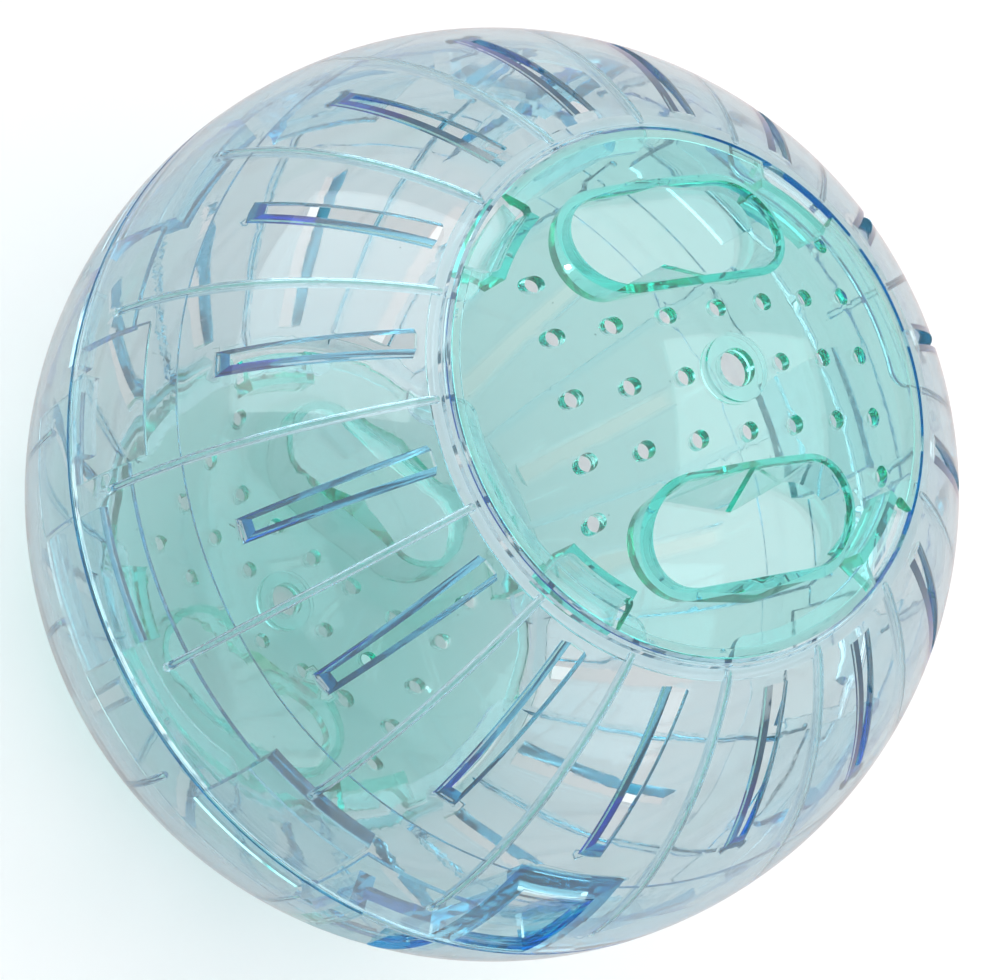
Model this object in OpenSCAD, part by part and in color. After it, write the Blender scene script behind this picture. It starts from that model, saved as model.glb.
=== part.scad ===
// Exercise ball for a hamster: two equal half shells that push together at the equator,
// each closed at its pole by a round bayonet door with a centre hole and two finger pockets.
// The origin is the ball's centre, +Z runs through the centre hole of the upper door,
// and +X runs along the rows of air holes of the upper door.

/* [Shell] */
// Outside diameter of the closed ball
ball_d = 140; // [130:1:155]
// Thickness of the shell wall between the vent slots
shell_wall = 1.6; // [1.4:0.1:1.8]
// Gap between the two rims at the seam
seam_gap = 0.2; // [0.1:0.05:0.3]
// Radius of the round groove that runs along the seam
seam_groove_r = 0.5; // [0.35:0.05:0.7]
// Turn of the lower half about the ball's axis, in degrees
half_turn = -46.8; // [-48:0.2:-45]

/* [Rim band] */
// Extra thickness of the band along the rim
band_extra = 0.8; // [0.6:0.1:1]
// Height of the rim band above the seam
band_h = 13.9; // [13:0.1:16]
// Extra thickness of the strip above the rim band
strip_extra = 0.25; // [0.15:0.05:0.4]
// Height of that strip's upper edge above the seam
strip_h = 24.2; // [22:0.1:28]

/* [Vent slots and ribs] */
// Number of vent slots round each half
slot_count = 16; // [12:4:16]
// Place of the first vent slot, in degrees
slot_deg = 4.6; // [4:0.1:5.2]
// Width of a vent slot on the outside, at its middle
slot_w = 2; // [1.8:0.1:2.6]
// How much wider a vent slot is at its upper end than at its lower end
slot_taper = 0.6; // [0.3:0.1:0.8]
// How much each long side of a vent slot leans out towards the inside
slot_flare = 1; // [0.6:0.05:1.1]
// Latitude of the lower end of the vent slots, in degrees
slot_low_deg = 29.2; // [28:0.2:32]
// Distance from the door's ring to the upper end of the vent slots
slot_to_ring = 2.4; // [2:0.1:3.6]
// How far the lower end of a vent slot slopes out towards the inside
slot_low_slope = 3.3; // [2.4:0.1:3.6]
// How far the upper end of a vent slot slopes in towards the inside
slot_high_slope = 0.6; // [0.3:0.1:1.2]
// Width of the ribs inside the wall, one between each two vent slots
rib_w = 1.2; // [1:0.1:1.4]
// How far the ribs stand in from the rim band
rib_rise = 0.5; // [0.4:0.05:0.6]
// How much less a rib's flanks stand out to the sides than its round nose
rib_flank_in = 0.05; // [0.03:0.01:0.08]
// Extra radius of a rib's round ends
rib_end_extra = 0.08; // [0.06:0.01:0.1]
// Latitude of the lower end of the ribs, in degrees
rib_low_deg = 7.2; // [6:0.2:10]
// Clearance between a tongue's tip and the rib above it
rib_to_tongue = 0.4; // [0.3:0.1:1.5]
// Distance from the door's opening to the upper end of the ribs
rib_to_opening = 0.8; // [0.8:0.1:1.1]

/* [Tongues and sockets] */
// Number of tongues on each half
tongue_count = 4; // [4:1:4]
// Place of the first tongue, in degrees
tongue_deg = 3.3; // [3:0.1:3.6]
// Angular width of a tongue, in degrees
tongue_w_deg = 17; // [12:0.5:17.5]
// Thickness of a tongue
tongue_t = 1.5; // [1:0.1:1.8]
// How far a tongue reaches into the other half
tongue_reach = 15; // [12:0.1:17]
// Height of a tongue's root on its own half
tongue_root_h = 5.5; // [4:0.5:8]
// Extra thickness of the bead at a tongue's tip
bead_extra = 0.7; // [0.4:0.1:1]
// Height of the bead at a tongue's tip
bead_h = 5.5; // [3:0.5:7]
// Clearance round a tongue in its socket
tongue_gap = 0.3; // [0.25:0.05:0.4]

/* [Thumb pockets and panels] */
// Place of the first thumb pocket, in degrees
thumb_deg = 72.2; // [71:0.1:73]
// Angular width of a thumb pocket, in degrees
thumb_w_deg = 10; // [7:0.5:11]
// Depth of a thumb pocket at the seam
thumb_depth = 3.85; // [3:0.05:4.5]
// Thickness of the ledge below a thumb pocket
thumb_ledge_t = 1.2; // [1:0.1:2]
// Thickness of the frame round a thumb pocket
thumb_frame_t = 3; // [2.2:0.1:3.4]
// Place of the first thin panel, in degrees
panel_deg = -17.4; // [-18:0.1:-17]
// Angular width of a thin panel, in degrees
panel_w_deg = 17.2; // [14:0.2:18]
// Thickness of the wall at a thin panel
panel_wall = 1.3; // [1.1:0.05:1.35]
// Height of a thin panel's upper edge above the seam
panel_h = 18.2; // [17.2:0.1:20]
// Height of the rim left below a thin panel
panel_rim_h = 0.9; // [0.6:0.1:1.2]
// Angular width of the bar inside a thin panel, in degrees
bar_w_deg = 10; // [6:0.5:12]
// Height of that bar
bar_h = 2.6; // [2:0.1:4]
// How far that bar stands in from the panel
bar_t = 2.4; // [1.6:0.1:3]

/* [Door opening] */
// Diameter of a door at its rim
door_d = 77.4; // [74:0.2:80]
// Clearance round a door in its opening
door_gap = 0.3; // [0.25:0.05:0.4]
// Width of the thick ring round the opening
ring_w = 2; // [1.8:0.1:2.2]
// How far that ring reaches below the ledge
ring_drop = 0.9; // [0.8:0.1:1.4]
// Width of the ledge that a door rests on, measured in from the door's rim
ledge_w = 3.6; // [3.2:0.1:3.7]
// Thickness of that ledge
ledge_t = 1.2; // [1:0.1:1.4]
// Clearance above and below that ledge
ledge_gap = 0.15; // [0.1:0.05:0.2]
// Angular width of a gap in the ledge, in degrees
ledge_cut_deg = 21.5; // [21.4:0.1:23]
// Radius of the rounded ends of the ledge
ledge_end_r = 3; // [1.4:0.1:3.2]
// How far a rounded end dips past the ledge's inner edge
ledge_end_dip = 0.05; // [0.04:0.01:0.1]
// Turn from locked to open, in degrees
twist_deg = 28; // [26:0.5:32]

/* [Door] */
// Thickness of the door's dome
door_wall = 1.8; // [1.5:0.1:2]
// How far the dome lies below the shell's sphere
door_sink = 0.35; // [0.2:0.05:0.6]
// Height of the door's rim
door_rim_h = 1.2; // [1:0.1:1.6]
// Width of the door's rim
door_rim_w = 1.8; // [1.4:0.1:2.2]
// Angular width of a bayonet tongue, in degrees
lug_w_deg = 20; // [16:0.5:20]
// Thickness of a bayonet tongue
lug_t = 1.7; // [1.4:0.1:2.2]
// How far a bayonet tongue ends short of the door's rim
lug_short = 1.1; // [0.6:0.1:1.4]
// How far the notch above a bayonet tongue reaches in from the rim
notch_depth = 4.05; // [3.8:0.05:4.6]
// Radius of the notch's inner corners
notch_corner_r = 1.2; // [0.8:0.1:1.6]
// Diameter of the axle hole
axle_d = 5.6; // [4:0.1:7]
// Diameter of the raised ring round the axle hole
axle_ring_d = 9.9; // [9:0.1:12]
// Thickness of the wall at the axle hole
axle_wall = 2.6; // [2.4:0.1:3.2]
// Diameter of an air hole
air_d = 2.6; // [1.8:0.1:3.2]
// Distance between air holes along a row
air_pitch_x = 8.2; // [7.8:0.1:8.4]
// Distance between rows of air holes
air_pitch_y = 9; // [8.4:0.1:9.2]
// Distance of the four outer air holes from the middle row
air_outer_y = 17.2; // [16.5:0.1:18]
// Distance of those holes from the step behind the notches
air_to_step = 2.85; // [2.6:0.05:3]

/* [Finger pockets] */
// Length of a finger pocket's mouth
pocket_l = 35; // [30:0.5:37]
// Width of a finger pocket's mouth
pocket_w = 14.8; // [12:0.1:15]
// Distance from the door's centre to a finger pocket's middle line
pocket_y = 21.7; // [21.4:0.1:22.4]
// Depth of a finger pocket at its middle
pocket_depth = 7; // [4:0.1:8]
// Draft of a finger pocket's sides, in degrees
pocket_draft_deg = 8; // [4:0.5:10]
// Wall thickness of a finger pocket
pocket_wall = 1.4; // [1.2:0.1:1.6]

/* [Hidden] */
$fn = 96;
// Overrun of every cutting shape
cut = 1;
shell_colour = [0.72, 0.82, 0.89];
door_colour = [0.66, 0.90, 0.85];

// Spheres of the shell, from the outside in
ball_r = ball_d / 2;
main_r = ball_r - shell_wall;
strip_r = main_r - strip_extra;
band_r = main_r - band_extra;
panel_r = ball_r - panel_wall;

// Tongues lie inside the strip's sphere and beside the rim band
tongue_r = strip_r - tongue_gap;
tongue_step = 360 / tongue_count;
socket_deg = half_turn - tongue_deg;
tongue_gap_deg = 2 * deg_of(tongue_gap, band_r);
socket_w_deg = tongue_w_deg + 2 * tongue_gap_deg;

// Door opening, ledge and door, as distances from the axis and heights above the centre
door_r = door_d / 2;
opening_r = door_r + door_gap;
ring_r = opening_r + ring_w;
ledge_r = door_r - ledge_w;
dome_r = ball_r - door_sink;
dome_in_r = dome_r - door_wall;
rim_low_z = height_of(dome_r, door_r) - door_rim_h;
ledge_top_z = rim_low_z - ledge_gap;
ledge_low_z = ledge_top_z - ledge_t;
ring_low_z = ledge_low_z - ring_drop;
lug_top_z = ledge_low_z - ledge_gap;
lug_low_z = lug_top_z - lug_t;
notch_r = door_r - notch_depth;
lug_step = 90;
lug_deg = 45;

// Latitudes that follow the door's ring and opening
ring_deg = acos(ring_r / ball_r);
slot_high_deg = ring_deg - deg_of(slot_to_ring, ball_r);
slot_step = 360 / slot_count;

// Ribs have a round nose inside the rim band's sphere
rib_axis_r = band_r - rib_rise + rib_w / 2;
rib_end_r = rib_w / 2 + rib_end_extra;
rib_flank_h = main_r + shell_wall / 2 - rib_axis_r;
rib_high_deg = acos((opening_r + rib_to_opening) / rib_axis_r);
rib_low_tongue_deg = asin((tongue_reach + rib_to_tongue + rib_end_r) / rib_axis_r);

// Thumb pockets have an upright floor at one distance from the axis
thumb_floor_r = ball_r - thumb_depth;
thumb_frame_deg = deg_of(thumb_frame_t, ball_r);
thumb_back_r = thumb_floor_r - shell_wall;
thumb_back_h = height_of(ball_r, thumb_floor_r) - thumb_frame_t;

// Columns and rows of air holes, counted in pitches from the axle hole
air_columns = [-3, -2, -1, 0, 1, 2, 3];
air_rows = [-1, 0, 1];
air_outer_r = notch_r - door_wall - air_to_step;
air_outer_x = sqrt(air_outer_r * air_outer_r - air_outer_y * air_outer_y);

function deg_of(length, radius) = length / radius * 180 / PI;
function height_of(sphere_r, axis_r) = sqrt(sphere_r * sphere_r - axis_r * axis_r);
// Angle from a to b, brought between -step/2 and +step/2
function off_by(a, b, step) = (a - b) - step * round((a - b) / step);

// A pie slice about the Z axis, centred on an angle, between two heights
module slice(mid_deg, w_deg, low_z, high_z) {
    reach = ball_d;
    rotate([0, 0, mid_deg])
        translate([0, 0, low_z])
            linear_extrude(high_z - low_z)
                polygon([[0, 0], [reach, -reach * tan(w_deg / 2)], [reach, reach * tan(w_deg / 2)]]);
}

// The same slice at every tongue position
module slices(first_deg, step_deg, count, w_deg, low_z, high_z) {
    for (i = [0 : count - 1])
        slice(first_deg + i * step_deg, w_deg, low_z, high_z);
}

// The part of a ball between two heights
module ball_zone(radius, low_z, high_z) {
    intersection() {
        sphere(r = radius);
        translate([0, 0, low_z])
            cylinder(r = radius + cut, h = high_z - low_z);
    }
}

// A tube about the Z axis
module tube(outer_r, inner_r, low_z, high_z) {
    translate([0, 0, low_z])
        difference() {
            cylinder(r = outer_r, h = high_z - low_z);
            translate([0, 0, -cut])
                cylinder(r = inner_r, h = high_z - low_z + 2 * cut);
        }
}

// Wall of a half shell: thick along the rim, a little less above it, thinnest at the slots
module shell_wall_zones() {
    difference() {
        ball_zone(ball_r, seam_gap / 2, ball_r + cut);
        ball_zone(main_r, strip_h, ball_r + cut);
        ball_zone(strip_r, band_h, ball_r);
        sphere(r = band_r);
        intersection() {
            ball_zone(strip_r, -cut, band_h + cut);
            slices(socket_deg, tongue_step, tongue_count, socket_w_deg, -cut, band_h + cut);
        }
        intersection() {
            sphere(r = panel_r);
            slices(panel_deg, 180, 2, panel_w_deg, panel_rim_h, panel_h);
        }
    }
}

// Ring and ledge round the door's opening
module opening_ring() {
    intersection() {
        sphere(r = ball_r);
        union() {
            tube(ring_r, opening_r, ring_low_z, ball_r);
            tube(ring_r, ledge_r, ledge_low_z, ball_r);
        }
    }
}

// Space that the door fills, and the gaps in the ledge that its tongues drop through
module opening_cut() {
    translate([0, 0, ledge_top_z])
        cylinder(r = opening_r, h = ball_r);
    cylinder(r = ledge_r, h = ball_r);
    for (i = [0 : 3])
        rotate([0, 0, lug_deg + twist_deg + i * lug_step])
            ledge_gap_cut();
}

// One gap in the ledge, with rounded corners on the inner edge
module ledge_gap_cut() {
    corner_r = ledge_r + ledge_end_r - ledge_end_dip;
    corner_deg = ledge_cut_deg / 2 + asin(ledge_end_r / corner_r);
    translate([0, 0, ledge_low_z - cut])
        linear_extrude(ledge_t + 2 * cut) {
            intersection() {
                circle(r = opening_r - ledge_gap);
                polygon([
                    [0, 0],
                    [ball_r, -ball_r * tan(ledge_cut_deg / 2)],
                    [ball_r, ball_r * tan(ledge_cut_deg / 2)]
                ]);
            }
            for (side = [-1, 1])
                difference() {
                    intersection() {
                        circle(r = corner_r * cos(corner_deg - ledge_cut_deg / 2));
                        polygon([
                            [0, 0],
                            [ball_r, side * ball_r * tan(ledge_cut_deg / 2 - cut / ball_r)],
                            [ball_r, side * ball_r * tan(corner_deg)]
                        ]);
                    }
                    rotate([0, 0, side * corner_deg])
                        translate([corner_r, 0])
                            circle(r = ledge_end_r);
                }
        }
}

// Tongues that reach past the seam into the other half's sockets
module rim_tongues() {
    intersection() {
        difference() {
            sphere(r = tongue_r);
            sphere(r = tongue_r - tongue_t);
        }
        slices(tongue_deg, tongue_step, tongue_count, tongue_w_deg, -tongue_reach, tongue_root_h);
    }
    intersection() {
        difference() {
            sphere(r = tongue_r);
            sphere(r = tongue_r - tongue_t - bead_extra);
        }
        slices(
            tongue_deg, tongue_step, tongue_count, tongue_w_deg,
            -tongue_reach, bead_h - tongue_reach
        );
    }
}

// Thicker places that hold the thumb pockets: a frame round each, and a thin wall behind its floor
module thumb_blocks() {
    frame_w_deg = thumb_w_deg + 2 * thumb_frame_deg;
    intersection() {
        sphere(r = ball_r);
        difference() {
            slices(thumb_deg, 180, 2, frame_w_deg, seam_gap / 2, ball_r);
            cylinder(r = thumb_floor_r - thumb_frame_t, h = ball_r + cut);
            intersection() {
                cylinder(r = thumb_back_r, h = ball_r);
                slices(thumb_deg, 180, 2, thumb_w_deg, -cut, thumb_back_h);
            }
        }
    }
}

// Pockets for a thumb: an upright floor above a narrow ledge at the seam
module thumb_pocket_cuts() {
    difference() {
        slices(thumb_deg, 180, 2, thumb_w_deg, thumb_ledge_t, ball_r);
        cylinder(r = thumb_floor_r, h = ball_r + cut);
    }
}

// Short bars inside the thin panels
module panel_bars() {
    intersection() {
        difference() {
            sphere(r = panel_r + panel_wall / 2);
            sphere(r = panel_r - bar_t);
        }
        slices(panel_deg, 180, 2, bar_w_deg, seam_gap / 2, seam_gap / 2 + bar_h);
    }
}

// One rib along a meridian: a round nose on flanks that run into the wall, with round ends
module rib(low_deg) {
    rotate([90, 0, 0]) {
        rotate([0, 0, low_deg])
            rotate_extrude(angle = rib_high_deg - low_deg)
                translate([rib_axis_r, 0]) {
                    circle(r = rib_w / 2, $fn = 32);
                    translate([0, rib_flank_in - rib_w / 2])
                        square([rib_flank_h, rib_w - 2 * rib_flank_in]);
                }
        for (end_deg = [low_deg, rib_high_deg])
            rotate([0, 0, end_deg])
                translate([rib_axis_r, 0, 0]) {
                    sphere(r = rib_end_r, $fn = 32);
                    rotate([0, 90, 0])
                        cylinder(r = rib_w / 2, h = rib_flank_h, $fn = 32);
                }
    }
}

// Ribs between the vent slots. Those over a tongue stop above its tip
module ribs() {
    for (i = [0 : slot_count - 1]) {
        place = slot_deg + (i + 0.5) * slot_step;
        over_tongue = abs(off_by(place, socket_deg, tongue_step)) < socket_w_deg / 2;
        rotate([0, 0, place])
            rib(over_tongue ? rib_low_tongue_deg : rib_low_deg);
    }
}

// One vent slot: its sides flare out and its lower end runs down towards the inside
module vent_slot() {
    flare_per_mm = slot_flare / shell_wall;
    near_r = main_r - cut;
    near_w = slot_w + 2 * flare_per_mm * (ball_r - near_r);
    edge_r = ball_r + slot_w / 2 / flare_per_mm;
    low_out = at_lat(ball_r, slot_low_deg);
    low_in = at_lat(main_r, slot_low_deg - deg_of(slot_low_slope, ball_r));
    high_out = at_lat(ball_r, slot_high_deg);
    high_in = at_lat(main_r, slot_high_deg - deg_of(slot_high_slope, ball_r));
    mid_deg = (slot_low_deg + slot_high_deg) / 2;
    half_deg = slot_high_deg - mid_deg;
    // The sides are swept about a point beside the ball's centre, so they part towards the upper end
    sweep_off = slot_taper / 4 / flare_per_mm / sin(half_deg);
    crown_r = (ball_r + 2 * cut) / cos(half_deg);
    rotate([90, 0, 0])
        intersection() {
            translate(sweep_off * at_lat(1, mid_deg + 90))
                rotate_extrude(angle = 90)
                    polygon([[near_r, -near_w / 2], [edge_r, 0], [near_r, near_w / 2]]);
            translate([0, 0, -near_w])
                linear_extrude(2 * near_w)
                    polygon([
                        2 * low_in - low_out,
                        2 * low_out - low_in,
                        at_lat(crown_r, mid_deg),
                        2 * high_out - high_in,
                        2 * high_in - high_out
                    ]);
        }
}

function at_lat(radius, lat) = [radius * cos(lat), radius * sin(lat)];

module vent_slots() {
    for (i = [0 : slot_count - 1])
        rotate([0, 0, slot_deg + i * slot_step])
            vent_slot();
}

// Round groove along the seam
module seam_groove() {
    rotate_extrude()
        translate([ball_r, 0])
            circle(r = seam_groove_r, $fn = 32);
}

// One half shell, drawn as the upper one
module half_shell() {
    difference() {
        union() {
            shell_wall_zones();
            opening_ring();
            thumb_blocks();
            panel_bars();
            ribs();
        }
        opening_cut();
        vent_slots();
        thumb_pocket_cuts();
        seam_groove();
    }
    rim_tongues();
}

// A stadium-shaped block with leaning sides, wider at the top
module pocket_block(low_z, grow) {
    straight = pocket_l - pocket_w;
    lean = tan(pocket_draft_deg);
    mouth_z = height_of(dome_r, pocket_y);
    low_r = pocket_w / 2 + grow - (mouth_z - low_z) * lean;
    high_z = dome_r + cut;
    high_r = pocket_w / 2 + grow + (high_z - mouth_z) * lean;
    for (side = [-1, 1])
        translate([side * straight / 2, 0, low_z])
            cylinder(r1 = low_r, r2 = high_r, h = high_z - low_z);
    rotate([90, 0, 90])
        translate([0, 0, -straight / 2])
            linear_extrude(straight)
                polygon([[-low_r, low_z], [low_r, low_z], [high_r, high_z], [-high_r, high_z]]);
}

// The two finger pockets, as cups or as their hollows
module pocket_blocks(low_z, grow) {
    for (side = [-1, 1])
        translate([0, side * pocket_y, 0])
            pocket_block(low_z, grow);
}

// Bayonet tongues: a short wall down from the dome and a plate that runs under the ledge
module bayonet_tongues() {
    for (i = [0 : 3]) {
        place = lug_deg + i * lug_step;
        intersection() {
            sphere(r = dome_r);
            tube(notch_r, notch_r - door_wall, lug_low_z, dome_r);
            slice(place, lug_w_deg, lug_low_z, dome_r);
        }
        intersection() {
            tube(door_r - lug_short, notch_r - door_wall, lug_low_z, lug_top_z);
            slice(place, lug_w_deg, lug_low_z, lug_top_z);
        }
    }
}

// Notches in the dome above the bayonet tongues, with rounded inner corners
module notch_cuts() {
    for (i = [0 : 3])
        rotate([0, 0, lug_deg + i * lug_step])
            translate([0, 0, lug_top_z])
                linear_extrude(ball_r)
                    notch_outline();
}

module notch_outline() {
    corner_r = notch_r + notch_corner_r;
    corner_deg = lug_w_deg / 2 - asin(notch_corner_r / corner_r);
    reach = door_d;
    difference() {
        polygon([[0, 0], [reach, -reach * tan(lug_w_deg / 2)], [reach, reach * tan(lug_w_deg / 2)]]);
        circle(r = notch_r);
        for (side = [-1, 1])
            difference() {
                intersection() {
                    circle(r = corner_r * cos(asin(notch_corner_r / corner_r)));
                    polygon([
                        [0, 0],
                        [reach, side * reach * tan(corner_deg)],
                        [reach, side * reach * tan(lug_w_deg / 2 + tongue_gap_deg)]
                    ]);
                }
                rotate([0, 0, side * corner_deg])
                    translate([corner_r, 0])
                        circle(r = notch_corner_r);
            }
    }
}

// Air holes: three rows of seven round the axle hole, and four outer ones
module air_holes() {
    for (row = air_rows)
        for (column = air_columns)
            if (row != 0 || column != 0)
                air_hole(column * air_pitch_x, row * air_pitch_y);
    for (side_x = [-1, 1])
        for (side_y = [-1, 1])
            air_hole(side_x * air_outer_x, side_y * air_outer_y);
}

module air_hole(x, y) {
    translate([x, y, 0])
        cylinder(d = air_d, h = ball_r, $fn = 32);
}

// One door, drawn as the upper one in its locked place
module door() {
    pocket_floor_z = height_of(dome_r, pocket_y) - pocket_depth;
    difference() {
        union() {
            intersection() {
                difference() {
                    sphere(r = dome_r);
                    sphere(r = dome_in_r);
                }
                translate([0, 0, rim_low_z])
                    cylinder(r = door_r, h = ball_r);
            }
            intersection() {
                sphere(r = dome_r);
                tube(door_r, door_r - door_rim_w, rim_low_z, dome_r);
            }
            intersection() {
                sphere(r = dome_r);
                pocket_blocks(pocket_floor_z - pocket_wall, pocket_wall);
            }
            translate([0, 0, ball_r - axle_wall])
                cylinder(d = axle_ring_d, h = axle_wall);
        }
        notch_cuts();
        pocket_blocks(pocket_floor_z, 0);
        air_holes();
        cylinder(d = axle_d, h = ball_r + cut);
    }
    bayonet_tongues();
}

// The lower half is the upper one turned over and then turned about the axis
module as_lower() {
    rotate([0, 0, half_turn])
        rotate([180, 0, 0])
            children();
}

module upper_half_shell() {
    color(shell_colour)
        half_shell();
}

module lower_half_shell() {
    color(shell_colour)
        as_lower()
            half_shell();
}

module upper_door() {
    color(door_colour)
        door();
}

module lower_door() {
    color(door_colour)
        as_lower()
            door();
}

upper_half_shell();
lower_half_shell();
upper_door();
lower_door();
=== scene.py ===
# A clear hamster ball: two pale blue half shells and two mint green doors, moulded in plastic.
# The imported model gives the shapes, which here get finer round walls and tinted clear plastic.
import math

import bmesh
import bpy
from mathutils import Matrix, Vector


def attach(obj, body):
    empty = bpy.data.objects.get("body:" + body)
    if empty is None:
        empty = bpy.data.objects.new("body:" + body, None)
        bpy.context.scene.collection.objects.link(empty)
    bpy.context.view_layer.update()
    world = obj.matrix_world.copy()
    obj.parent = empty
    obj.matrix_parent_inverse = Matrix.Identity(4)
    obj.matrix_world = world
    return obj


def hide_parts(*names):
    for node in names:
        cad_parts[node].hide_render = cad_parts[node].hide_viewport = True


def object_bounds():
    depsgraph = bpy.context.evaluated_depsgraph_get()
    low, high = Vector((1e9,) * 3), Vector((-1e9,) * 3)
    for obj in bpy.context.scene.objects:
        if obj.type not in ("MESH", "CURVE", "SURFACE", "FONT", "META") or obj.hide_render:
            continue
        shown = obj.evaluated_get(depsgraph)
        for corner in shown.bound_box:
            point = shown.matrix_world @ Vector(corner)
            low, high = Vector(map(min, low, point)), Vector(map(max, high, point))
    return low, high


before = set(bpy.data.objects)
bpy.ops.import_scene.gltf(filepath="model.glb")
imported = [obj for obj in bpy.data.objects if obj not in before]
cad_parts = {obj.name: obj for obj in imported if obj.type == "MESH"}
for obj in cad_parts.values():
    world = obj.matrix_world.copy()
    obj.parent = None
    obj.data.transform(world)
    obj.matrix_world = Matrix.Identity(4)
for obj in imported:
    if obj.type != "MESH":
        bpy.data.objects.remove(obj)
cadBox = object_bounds()
print("frame loaded")

ballCentre = (cadBox[0] + cadBox[1]) / 2
ballRadius = (cadBox[1].z - cadBox[0].z) / 2
mm = 0.001


# Shader maths in plain Python: a wrapped socket adds a Math node for each operator

class Shade:
    def __init__(self, graph, socket):
        self.graph = graph
        self.socket = socket

    def maths(self, operation, other=0.0, swapped=False, clamped=False):
        values = (other, self) if swapped else (self, other)
        settings = {"operation": operation, "use_clamp": clamped}
        return self.graph.add("ShaderNodeMath", settings, dict(enumerate(values)))

    def __add__(self, other):
        return self.maths("ADD", other)

    def __sub__(self, other):
        return self.maths("SUBTRACT", other)

    def __rsub__(self, other):
        return self.maths("SUBTRACT", other, swapped=True)

    def __mul__(self, other):
        return self.maths("MULTIPLY", other)

    def __truediv__(self, other):
        return self.maths("DIVIDE", other)

    def __rtruediv__(self, other):
        return self.maths("DIVIDE", other, swapped=True)

    __radd__ = __add__
    __rmul__ = __mul__

    def atLeast(self, other):
        return self.maths("MAXIMUM", other)

    def above(self, other):
        return self.maths("GREATER_THAN", other)

    def clamp(self):
        return self.maths("ADD", clamped=True)

    def sibling(self, output):  # another output of the same node
        return Shade(self.graph, self.socket.node.outputs[output])


class Graph:
    def __init__(self, owner):
        owner.use_nodes = True
        self.tree = owner.node_tree
        self.tree.nodes.clear()

    # adds any node: its settings go in first, then the values or links of its sockets
    def add(self, kind, settings=None, values=None, output=0):
        node = self.tree.nodes.new(kind)
        for name, setting in (settings or {}).items():
            setattr(node, name, setting)
        for name, value in (values or {}).items():
            if isinstance(value, Shade):
                self.tree.links.new(value.socket, node.inputs[name])
            else:
                node.inputs[name].default_value = value
        return Shade(self, node.outputs[output]) if node.outputs else None

    # a Mix node's colours are its inputs 6 and 7, and the mixed colour is its output 2
    def mixColours(self, share, colour, other):
        values = {"Factor": share, 6: colour, 7: other}
        return self.add("ShaderNodeMix", {"data_type": "RGBA"}, values, output=2)


def addObject(name, data):
    made = bpy.data.objects.new(name, data)
    bpy.context.scene.collection.objects.link(made)
    return made


def meshFrom(form, name):
    mesh = bpy.data.meshes.new(name)
    form.to_mesh(mesh)
    form.free()
    return mesh


# Camera: it looks from well above the seam, and its roll puts the near door at the upper right

cameraPlace = {
    "latitude": 56.56,
    "longitude": 15.39,
    "radiiAway": 11.221,
    "roll": 27.41,
    "focalPixels": 5221.6,
    "sensor": 36.0,
    "frameWidth": 982,
    "frameHeight": 980,
    "centreX": 491.87,
    "centreY": 494.5,
    "clipStart": 0.01,
    "clipEnd": 20.0,
}


def onSphere(latitude, longitude):
    lat, lon = math.radians(latitude), math.radians(longitude)
    return Vector((math.cos(lat) * math.cos(lon), math.cos(lat) * math.sin(lon), math.sin(lat)))


def addCamera(place):
    towards = onSphere(place["latitude"], place["longitude"])
    poleUp = (Vector((0, 0, 1)) - towards * towards.z).normalized()
    poleLeft = towards.cross(poleUp)
    roll = math.radians(place["roll"])
    right = poleUp * math.cos(roll) - poleLeft * math.sin(roll)
    up = poleUp * math.sin(roll) + poleLeft * math.cos(roll)
    data = bpy.data.cameras.new("camera")
    camera = addObject("camera", data)
    data.sensor_width = place["sensor"]
    data.lens = place["focalPixels"] * place["sensor"] / place["frameWidth"]
    data.shift_x = (place["frameWidth"] / 2 - place["centreX"]) / place["frameWidth"]
    data.shift_y = (place["centreY"] - place["frameHeight"] / 2) / place["frameWidth"]
    data.clip_start = place["clipStart"]
    data.clip_end = place["clipEnd"]
    turn = camera.matrix_world.to_3x3()
    turn.col[0], turn.col[1], turn.col[2] = right, up, towards
    camera.matrix_world = turn.to_4x4()
    camera.location = ballCentre + towards * ballRadius * place["radiiAway"]
    bpy.context.scene.camera = camera
    return right, up, towards


cameraRight, cameraUp, cameraBack = addCamera(cameraPlace)
print("camera placed")


# Studio: a white floor that keeps the shadow, a pale surround and soft lamps; the floor seen
# through the plastic is greyed as painted shade

studio = {
    "floorSide": 12.0,
    "floorCells": 4,
    "floorGap": 0.2 * mm,
    "seenWhite": (1.0, 1.0, 1.0, 1.0),
    # the floor's colour for all rays but the camera's: a grey that is painted shade on what the
    # ball shows through its walls
    "floorPaintedShade": (0.77, 0.69, 0.68, 1.0),
    "surround": (0.88, 0.87, 0.87, 1.0),
    "surroundStrength": 1.0,
    "lamps": [
        # right, up and back of the ball as the camera sees it; places and sizes are in radii
        {"name": "keyLamp", "place": (-9.0, 12.0, 9.0), "size": 17.0, "power": 6.4},
        {"name": "sideLamp", "place": (14.0, 3.0, 6.0), "size": 12.0, "power": 2.6},
        {"name": "sparkLamp", "place": (4.0, 12.0, 8.0), "size": 0.3, "power": 0.08},
    ],
}


def backdropColour(graph, throughPlastic, seenWhite):
    # white for rays straight from the camera, a little darker for those through the plastic
    straight = graph.add("ShaderNodeLightPath", output="Is Camera Ray")
    return graph.mixColours(straight, throughPlastic, seenWhite)


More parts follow.
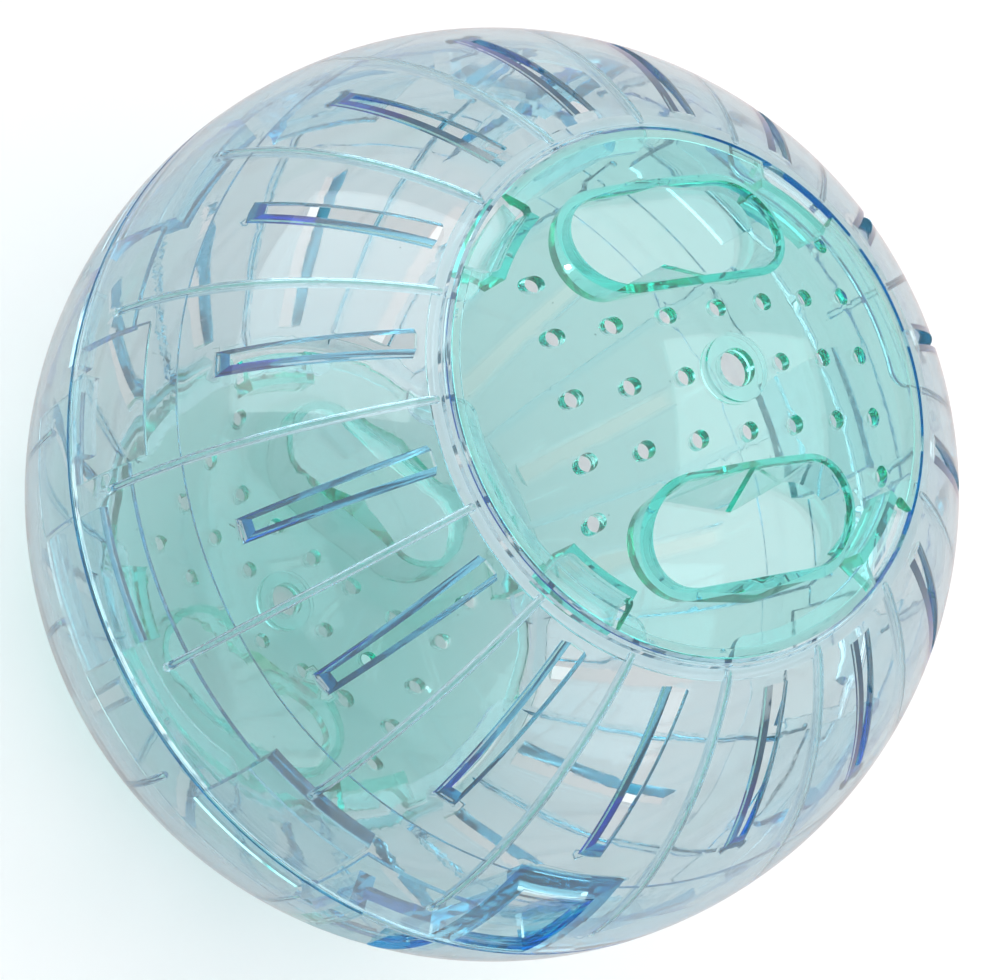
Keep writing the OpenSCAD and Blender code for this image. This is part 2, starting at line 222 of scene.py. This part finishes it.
def addFloor(settings):
    form = bmesh.new()
    cells = settings["floorCells"]
    reach = settings["floorSide"] / 2
    level = cadBox[0].z - settings["floorGap"]
    bmesh.ops.create_grid(form, x_segments=cells, y_segments=cells, size=reach)
    bmesh.ops.translate(form, verts=form.verts, vec=(0, 0, level))
    mesh = meshFrom(form, "floor")
    floor = addObject("floor", mesh)
    material = bpy.data.materials.new("whiteFloor")
    graph = Graph(material)
    # rays that are not the camera's see the floor in the grey of painted shade
    colour = backdropColour(graph, settings["floorPaintedShade"], settings["seenWhite"])
    matt = graph.add("ShaderNodeBsdfDiffuse", values={"Color": colour})
    graph.add("ShaderNodeOutputMaterial", values={"Surface": matt})
    mesh.materials.append(material)


def addSurround(settings):
    world = bpy.data.worlds.new("surround")
    bpy.context.scene.world = world
    graph = Graph(world)
    colour = backdropColour(graph, settings["surround"], settings["seenWhite"])
    values = {"Color": colour, "Strength": settings["surroundStrength"]}
    light = graph.add("ShaderNodeBackground", values=values)
    graph.add("ShaderNodeOutputWorld", values={"Surface": light})


def addLamp(lamp):
    right, up, back = lamp["place"]
    away = (cameraRight * right + cameraUp * up + cameraBack * back) * ballRadius
    place = ballCentre + away
    data = bpy.data.lights.new(lamp["name"], "AREA")
    data.shape = "SQUARE"
    data.size = lamp["size"] * ballRadius
    data.energy = lamp["power"]
    light = addObject(lamp["name"], data)
    light.location = place
    light.rotation_mode = "QUATERNION"
    light.rotation_quaternion = (place - ballCentre).to_track_quat("Z", "Y")


addFloor(studio)
addSurround(studio)
for lamp in studio["lamps"]:
    addLamp(lamp)
print("studio lit")


# Clear plastic: pale where it is thin, strongly coloured where one looks along a wall

shellPlastic = {
    "name": "blueClearPlastic",
    "surface": (0.98, 0.98, 0.98, 1.0),
    "passes": (0.10, 0.815, 0.975, 1.0),  # the tint that grows on the way through the plastic
    "strength": 103.0,  # and how fast it grows
    "throughLamp": (1.0, 0.945, 0.93, 1.0),  # the tint of each surface for a lamp's rays
    "waveHeight": 0.14 * mm,
}
doorPlastic = {
    "name": "mintClearPlastic",
    "surface": (0.965, 0.985, 0.98, 1.0),
    "passes": (0.02, 0.965, 0.90, 1.0),
    "strength": 250.0,
    "throughLamp": (1.0, 0.92, 0.93, 1.0),
    "waveHeight": 0.06 * mm,
}
plasticFinish = {
    "bend": 1.58,  # refractive index
    "clear": 0.97,
    "roughness": 0.012,
    "finerOctaves": 1.0,  # of both noises, so the waves carry one finer ripple
    "waveScale": 28.0,
    "rippleScale": 150.0,
    "rippleShare": 0.2,
    "waveDepths": (1.0 * mm, 2.0 * mm),  # the inner wall lies between these depths
    "waveFade": 0.3 * mm,
    "markScale": 900.0,  # marks of use that dull the gloss in spots
    "markShare": 0.6,
    "markLevel": 0.5,
    "markDepth": 0.2,
    "speckScale": 260.0,
    "speckRadius": 0.045,  # in cells
    "speckChance": 0.8,  # cells above this have a grain
    "speckTint": 0.55,
}


def dustedColour(graph, place, tint, finish):
    # a few tiny grains of dust: the middles of some cells are a little darker
    settings = {"voronoi_dimensions": "3D", "feature": "F1"}
    values = {"Vector": place, "Scale": finish["speckScale"]}
    distance = graph.add("ShaderNodeTexVoronoi", settings, values)
    cell = {"Color": distance.sibling("Color")}
    chance = graph.add("ShaderNodeSeparateColor", values=cell, output="Red")
    grain = (1.0 - distance.above(finish["speckRadius"])) * chance.above(finish["speckChance"])
    dusty = [channel * finish["speckTint"] for channel in tint["surface"][:3]] + [1.0]
    return graph.mixColours(grain, tint["surface"], dusty)


def wavyNormal(graph, place, tint, finish):
    waves = graph.add("ShaderNodeTexNoise", values={
        "Vector": place,
        "Scale": finish["waveScale"],
        "Detail": finish["finerOctaves"],
        "Lacunarity": finish["rippleScale"] / finish["waveScale"],
        "Roughness": finish["rippleShare"],
    })
    # the waves of the moulding lie on the inner wall alone: the outside and the ribs are polished
    radius = graph.add("ShaderNodeVectorMath", {"operation": "LENGTH"}, {0: place}, output="Value")
    outerEnd, innerEnd = [ballRadius - depth for depth in finish["waveDepths"]]
    fade = finish["waveFade"]
    inside = ((outerEnd - radius) / fade).clamp() * ((radius - innerEnd) / fade).clamp()
    values = {"Height": waves * inside, "Distance": tint["waveHeight"], "Strength": 1.0}
    return graph.add("ShaderNodeBump", values=values)


def markedRoughness(graph, place, finish):
    marks = graph.add("ShaderNodeTexNoise", values={
        "Vector": place,
        "Scale": finish["markScale"],
        "Detail": finish["finerOctaves"],
        "Roughness": finish["markShare"],
    })
    marked = (marks - finish["markLevel"]).atLeast(0.0)
    return marked * finish["markDepth"] + finish["roughness"]


def clearPlastic(tint, finish):
    material = bpy.data.materials.new(tint["name"])
    graph = Graph(material)
    place = graph.add("ShaderNodeTexCoord", output="Object")
    body = graph.add("ShaderNodeBsdfPrincipled", values={
        "Base Color": dustedColour(graph, place, tint, finish),
        "Roughness": markedRoughness(graph, place, finish),
        "IOR": finish["bend"],
        "Transmission Weight": finish["clear"],
        "Normal": wavyNormal(graph, place, tint, finish),
    })
    # a lamp's rays pass straight on with a tint of their own, which keeps the shadow neutral
    lampRay = graph.add("ShaderNodeLightPath", output="Is Shadow Ray")
    letThrough = graph.add("ShaderNodeBsdfTransparent", values={"Color": tint["throughLamp"]})
    surface = graph.add("ShaderNodeMixShader", values={0: lampRay, 1: body, 2: letThrough})
    values = {"Color": tint["passes"], "Density": tint["strength"]}
    depth = graph.add("ShaderNodeVolumeAbsorption", values=values)
    graph.add("ShaderNodeOutputMaterial", values={"Surface": surface, "Volume": depth})
    return material


shellMaterial = clearPlastic(shellPlastic, plasticFinish)
doorMaterial = clearPlastic(doorPlastic, plasticFinish)
print("plastics mixed")


# Pieces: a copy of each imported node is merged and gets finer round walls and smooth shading

fineness = {
    "mergeGap": 0.002 * mm,
    "sameLength": 0.004 * mm,
    "longestEdge": 2.2 * mm,
    "passes": 4,
    "facing": 0.985,  # cosine from which a face counts as facing a direction
    "keyDigits": 9,
    "sharpAngle": math.radians(28),
}


def axisPart(point):
    return Vector((point.x, point.y, 0))


def middleOf(edge):
    return (edge.verts[0].co + edge.verts[1].co) / 2


def roundPlace(edge, settings):
    # where the middle of an edge lies on the round wall that the edge follows, or None
    first, second = edge.verts[0].co, edge.verts[1].co
    middle = middleOf(edge)
    fromAxis, fromCentre = axisPart(middle).normalized(), middle.normalized()

    def same(one, other):
        return abs(one - other) < settings["sameLength"]

    def faces(direction):
        cosines = [abs(face.normal.dot(direction)) for face in edge.link_faces]
        return any(cosine > settings["facing"] for cosine in cosines)

    aroundAxis = same(axisPart(first).length, axisPart(second).length)
    onBall = same(first.length, second.length) and faces(fromCentre)
    level = same(first.z, second.z)
    if aroundAxis and (faces(fromAxis) or (level and onBall)):
        return fromAxis * axisPart(first).length + Vector((0, 0, middle.z))
    if onBall:
        return fromCentre * first.length
    return None


def refine(form, settings):
    # cuts the long edges of the round walls in two and lifts the new points onto the walls
    def pointKey(point):
        return tuple(round(value, settings["keyDigits"]) for value in point)

    for step in range(settings["passes"]):
        form.normal_update()
        found = {}
        for edge in form.edges:
            if edge.calc_length() > settings["longestEdge"]:
                place = roundPlace(edge, settings)
                if place is not None:
                    found[edge] = place
        if not found:
            break
        places = {pointKey(middleOf(edge)): place for edge, place in found.items()}
        edges = list(found)
        made = bmesh.ops.subdivide_edges(form, edges=edges, cuts=1, use_single_edge=True)
        for vert in made["geom_inner"]:
            if isinstance(vert, bmesh.types.BMVert) and pointKey(vert.co) in places:
                vert.co = places[pointKey(vert.co)]
        bmesh.ops.triangulate(form, faces=[face for face in form.faces if len(face.verts) > 3])


def makePiece(node, name, body, material):
    form = bmesh.new()
    form.from_mesh(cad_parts[node].data)
    bmesh.ops.remove_doubles(form, verts=form.verts, dist=fineness["mergeGap"])
    refine(form, fineness)
    for face in form.faces:
        face.smooth = True
    for edge in form.edges:
        closed = len(edge.link_faces) == 2
        edge.smooth = closed and edge.calc_face_angle(0) < fineness["sharpAngle"]
    mesh = meshFrom(form, name)
    mesh.materials.append(material)
    piece = addObject(name, mesh)
    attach(piece, body)
    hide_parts(node)
    print(name, "has", len(mesh.polygons), "faces")


makePiece("upper_half_shell", "upper_shell_skin", "upper_half", shellMaterial)
makePiece("lower_half_shell", "lower_shell_skin", "lower_half", shellMaterial)
makePiece("upper_door", "upper_door_skin", "upper_door", doorMaterial)
makePiece("lower_door", "lower_door_skin", "lower_door", doorMaterial)
print("pieces made")


# Light: enough bounces to pass all the walls of both halves and both doors

bounces = {
    "clear": 20,
    "diffuse": 2,
    "transparent": 32,
}
cycles = bpy.context.scene.cycles
cycles.max_bounces = bounces["clear"]
cycles.transmission_bounces = bounces["clear"]
cycles.glossy_bounces = bounces["clear"]
cycles.diffuse_bounces = bounces["diffuse"]
cycles.transparent_max_bounces = bounces["transparent"]
bpy.context.scene.view_settings.view_transform = "Standard"
